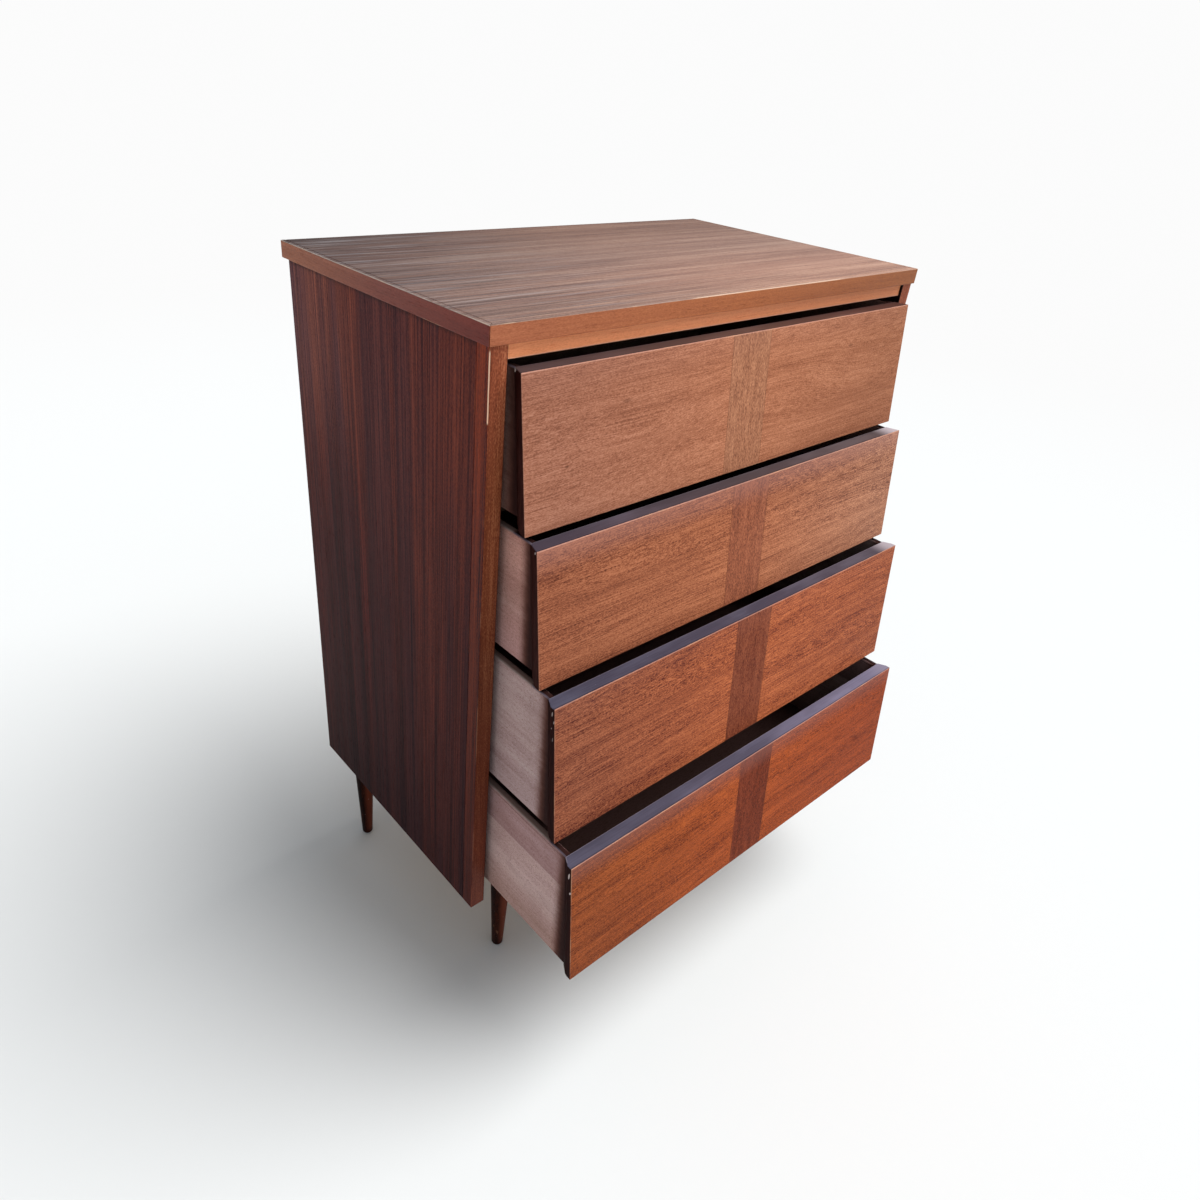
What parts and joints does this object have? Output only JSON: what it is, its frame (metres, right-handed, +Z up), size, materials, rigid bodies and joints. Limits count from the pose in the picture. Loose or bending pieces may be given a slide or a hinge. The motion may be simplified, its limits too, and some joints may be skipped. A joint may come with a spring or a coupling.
{
  "type": "chest of drawers",
  "caption": "Tall wooden chest of drawers with slanted finger-pull fronts over lapped boxes, on tapered round legs; every drawer slides on a centre guide.",
  "frame": {"origin": "on the floor, under the middle of the whole chest as it stands with its drawers partly open", "axes": "+Z up, the drawer fronts face -Y and the drawers open along -Y, +X to the right of someone who faces the fronts"},
  "size_m": [0.806, 0.6479, 1.0658],
  "materials": {
    "veneer_front": "satin",
    "veneer_side": "satin",
    "veneer_top": "satin",
    "solid_edge": "satin",
    "leg_wood": "satin",
    "box_wood": "matte",
    "frame_wood": "matte",
    "hardboard": "matte"
  },
  "bodies": {
    "case": {"back_panel": "hardboard", "bottom_panel": "frame_wood", "centre_guide_1": "frame_wood", "centre_guide_2": "frame_wood", "centre_guide_3": "frame_wood", "centre_guide_4": "frame_wood", "divider_rail_back_1": "frame_wood", "divider_rail_back_2": "frame_wood", "divider_rail_back_3": "frame_wood", "divider_rail_front_1": "frame_wood", "divider_rail_front_2": "frame_wood", "divider_rail_front_3": "frame_wood", "leg_back_left": "leg_wood", "leg_back_right": "leg_wood", "leg_block_back_left": "frame_wood", "leg_block_back_right": "frame_wood", "leg_block_front_left": "frame_wood", "leg_block_front_right": "frame_wood", "leg_front_left": "leg_wood", "leg_front_right": "leg_wood", "runner_left_1": "frame_wood", "runner_left_2": "frame_wood", "runner_left_3": "frame_wood", "runner_right_1": "frame_wood", "runner_right_2": "frame_wood", "runner_right_3": "frame_wood", "side_panel_left": "veneer_side", "side_panel_right": "veneer_side", "stile_left": "solid_edge", "stile_right": "solid_edge", "top_back_rail": "frame_wood", "top_edge_front": "solid_edge", "top_edge_left": "solid_edge", "top_edge_right": "solid_edge", "top_panel": "veneer_top", "top_rail": "solid_edge"},
    "drawer_1": {"drawer_1_front": "veneer_front", "drawer_1_side_left": "box_wood", "drawer_1_side_right": "box_wood", "drawer_1_back": "box_wood", "drawer_1_bottom": "hardboard", "drawer_1_guide_block": "frame_wood"},
    "drawer_2": {"drawer_2_front": "veneer_front", "drawer_2_side_left": "box_wood", "drawer_2_side_right": "box_wood", "drawer_2_back": "box_wood", "drawer_2_bottom": "hardboard", "drawer_2_guide_block": "frame_wood"},
    "drawer_3": {"drawer_3_front": "veneer_front", "drawer_3_side_left": "box_wood", "drawer_3_side_right": "box_wood", "drawer_3_back": "box_wood", "drawer_3_bottom": "hardboard", "drawer_3_guide_block": "frame_wood"},
    "drawer_4": {"drawer_4_front": "veneer_front", "drawer_4_side_left": "box_wood", "drawer_4_side_right": "box_wood", "drawer_4_back": "box_wood", "drawer_4_bottom": "hardboard", "drawer_4_guide_block": "frame_wood"}
  },
  "joints": [
    {"name": "drawer_1_slide", "type": "slide", "parent": "case", "child": "drawer_1", "axis": [0, -1, 0], "range_m": [-0.0375, 0.2625]},
    {"name": "drawer_2_slide", "type": "slide", "parent": "case", "child": "drawer_2", "axis": [0, -1, 0], "range_m": [-0.081, 0.219]},
    {"name": "drawer_3_slide", "type": "slide", "parent": "case", "child": "drawer_3", "axis": [0, -1, 0], "range_m": [-0.1325, 0.1675]},
    {"name": "drawer_4_slide", "type": "slide", "parent": "case", "child": "drawer_4", "axis": [0, -1, 0], "range_m": [-0.19, 0.11]}
  ]
}
